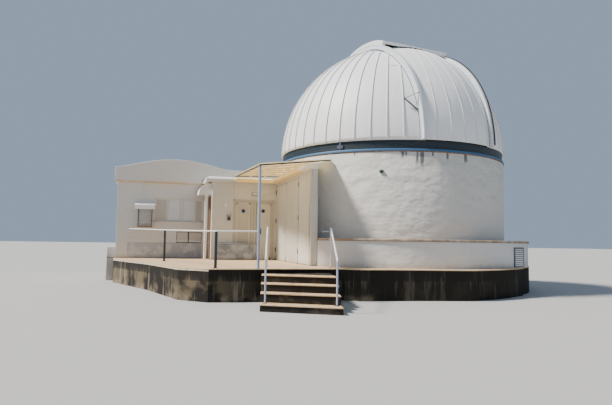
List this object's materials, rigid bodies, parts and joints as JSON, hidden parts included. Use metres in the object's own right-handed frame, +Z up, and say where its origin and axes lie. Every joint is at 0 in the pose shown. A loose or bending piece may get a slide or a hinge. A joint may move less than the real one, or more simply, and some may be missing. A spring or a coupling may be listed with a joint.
{
  "type": "observatory dome building",
  "caption": "Round drum with a turning dome and rising slit shutter, low skirt wall, flat-roofed entrance lobby, side annex with a curved parapet, and a raised terrace with stairs and a canopy.",
  "frame": {"origin": "on the dome axis, at the lowest ground level under the platform", "axes": "+Z up, +X along the annex front to the right, +Y to the back; the slit faces 278.5 degrees from +X"},
  "size_m": [15.02, 15.6109, 8.8476],
  "materials": {
    "render": "matte painted cement render",
    "coping": "matte painted concrete",
    "concrete": "rough stained concrete",
    "paving": "dusty cement screed",
    "roofing": "weathered screed",
    "tile_band": "worn grey dado",
    "rail": "white paint",
    "old_rail": "worn dark paint with rust",
    "canopy_sheet": "yellowed translucent sheet",
    "steel": "blue-grey paint",
    "ring": "dark satin paint",
    "track": "bright blue paint",
    "dome": "white satin paint",
    "door": "beige satin paint",
    "window": "worn grey paint",
    "cooler": "off-white paint"
  },
  "bodies": {
    "building": {"platform": "concrete", "paving": "paving", "stair_step_1": "concrete", "stair_step_2": "concrete", "stair_step_3": "concrete", "stair_step_4": "concrete", "handrail_left": "rail", "handrail_right": "rail", "terrace_railing": "old_rail", "canopy_sheet": "canopy_sheet", "canopy_frame": "steel", "drum_wall_1": "render", "drum_wall_2": "render", "drum_wall_3": "render", "drum_wall_4": "render", "drum_lintel": "render", "track_ring": "track", "plinth_front": "render", "plinth_back": "render", "coping": "coping", "portal_pier": "render", "portal_lintel": "render", "entrance_wall": "render", "entrance_lintel": "render", "lobby_roof": "coping", "screen_wall": "tile_band", "side_hood": "render", "door_frame": "door", "annex_front": "render", "annex_walls": "render", "annex_roof": "roofing", "window_unit": "window", "hatch_panels": "window", "cooler_box": "cooler"},
    "dome": {"dome_ring": "ring", "dome_shell_left_front": "dome", "dome_shell_left_middle": "dome", "dome_shell_left_back": "dome", "dome_shell_left_crown": "dome", "dome_shell_right_front": "dome", "dome_shell_right_middle": "dome", "dome_shell_right_back": "dome", "dome_shell_right_crown": "dome", "dome_shell_top": "dome", "curb_left": "dome", "curb_right": "dome", "hood": "dome"},
    "shutter": {"shutter": "dome"},
    "entrance_door": {"entrance_leaf": "door"},
    "big_door_left": {"big_door_left": "door"},
    "big_door_right": {"big_door_right": "door"}
  },
  "joints": [
    {"name": "dome_rotation", "type": "hinge", "parent": "building", "child": "dome", "pos_m": [0, 0, 4.45], "axis": [0, 0, 1], "continuous": true},
    {"name": "shutter_lift", "type": "hinge", "parent": "dome", "child": "shutter", "pos_m": [0, 0, 4.71], "axis": [-0.989, -0.1478, 0], "range_deg": [0, 64]},
    {"name": "entrance_hinge", "type": "hinge", "parent": "building", "child": "entrance_door", "pos_m": [-4.136, 1.89, 1.93], "axis": [0, 0, -1], "range_deg": [0, 85]},
    {"name": "big_door_left_hinge", "type": "hinge", "parent": "building", "child": "big_door_left", "pos_m": [-3.949, 1.792, 2.27], "axis": [0, 0, -1], "range_deg": [0, 60]},
    {"name": "big_door_right_hinge", "type": "hinge", "parent": "building", "child": "big_door_right", "pos_m": [-3.949, -1.542, 2.27], "axis": [0, 0, 1], "range_deg": [0, 90]}
  ]
}
